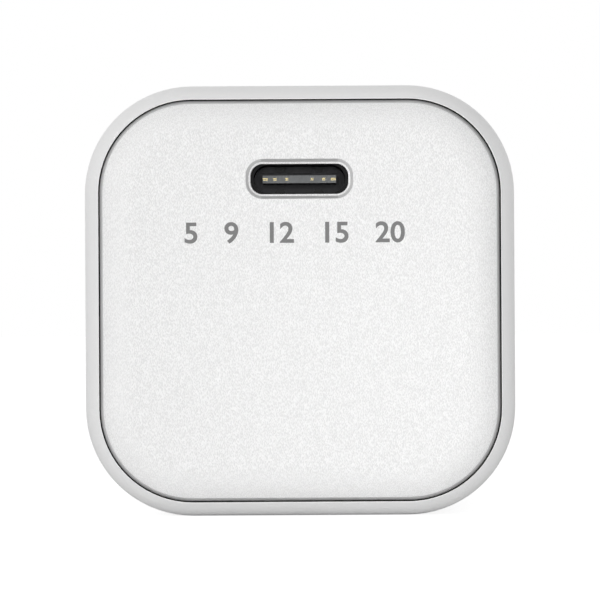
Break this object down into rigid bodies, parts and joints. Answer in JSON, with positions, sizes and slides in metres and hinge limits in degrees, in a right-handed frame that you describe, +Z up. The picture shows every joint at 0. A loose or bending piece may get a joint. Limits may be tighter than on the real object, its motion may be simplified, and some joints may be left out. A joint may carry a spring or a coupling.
{
  "type": "usb-c power adapter",
  "caption": "Plug-in power adapter: a white cube-like housing with a round-pin mains plug behind and a USB-C port in its grained front cover.",
  "frame": {"origin": "middle of the whole part in plan, on the plane that the housing lies on", "axes": "+Z up, the port faces -Y, the mains pins leave towards +Y, +X is to the right when looking at the port"},
  "size_m": [0.0394, 0.087, 0.0394],
  "materials": {
    "housing_plastic": "satin white moulding",
    "grained_plastic": "white, fine spark-eroded grain",
    "port_shell": "black-plated stainless steel",
    "port_moulding": "black",
    "port_plate": "satin",
    "gold_contact": "gold flash",
    "port_spring": "dark plated",
    "pin_plating": "nickel plated",
    "sleeve_plastic": "black, satin",
    "carrier_plastic": "matt",
    "spring_bronze": "rolled strip",
    "liner_film": "translucent film",
    "board_laminate": "green solder mask",
    "ferrite": "sintered, matt",
    "bobbin_plastic": "black phenolic",
    "copper_wire": "enamelled copper",
    "polyester_tape": "yellow tape",
    "insulated_wire": "triple-insulated copper",
    "capacitor_sleeve": "dark shrink sleeve",
    "capacitor_can": "bare can",
    "film_box": "yellow box",
    "blue_coating": "dipped epoxy",
    "orange_coating": "dipped epoxy",
    "coated_ferrite": "green epoxy coat",
    "fuse_plastic": "dark brown",
    "chip_mould": "black epoxy",
    "pale_chip_mould": "pale epoxy",
    "silicone_pad": "soft silicone",
    "spreader_sheet": "rolled sheet"
  },
  "bodies": {
    "root": {"housing": "housing_plastic", "front_cover": "grained_plastic", "usb_shell": "port_shell", "usb_insulator": "port_moulding", "usb_mid_plate": "port_plate", "usb_contacts": "gold_contact", "usb_ground_springs": "port_spring", "pin_left": "pin_plating", "pin_right": "pin_plating", "sleeve_left": "sleeve_plastic", "sleeve_right": "sleeve_plastic", "pin_carrier": "carrier_plastic", "spring_contact_left": "spring_bronze", "spring_contact_right": "spring_bronze", "insulating_liner": "liner_film", "main_board": "board_laminate", "core_upper": "ferrite", "core_lower": "ferrite", "bobbin": "bobbin_plastic", "primary_winding": "copper_wire", "winding_tape": "polyester_tape", "secondary_winding": "insulated_wire", "bulk_capacitor_front": "capacitor_sleeve", "bulk_capacitor_rear": "capacitor_sleeve", "output_capacitor_left": "capacitor_can", "output_capacitor_right": "capacitor_can", "output_inductor": "ferrite", "line_filter_capacitor": "film_box", "safety_capacitor": "blue_coating", "surge_absorber": "orange_coating", "choke_core": "coated_ferrite", "choke_winding_left": "copper_wire", "choke_winding_right": "copper_wire", "fuse": "fuse_plastic", "bridge_rectifier": "chip_mould", "power_switch": "chip_mould", "optocoupler": "pale_chip_mould", "synchronous_rectifier": "chip_mould", "port_controller": "chip_mould", "thermal_pad_primary": "silicone_pad", "thermal_pad_secondary": "silicone_pad", "thermal_pad_core": "silicone_pad", "heat_spreader": "spreader_sheet"}
  },
  "joints": []
}
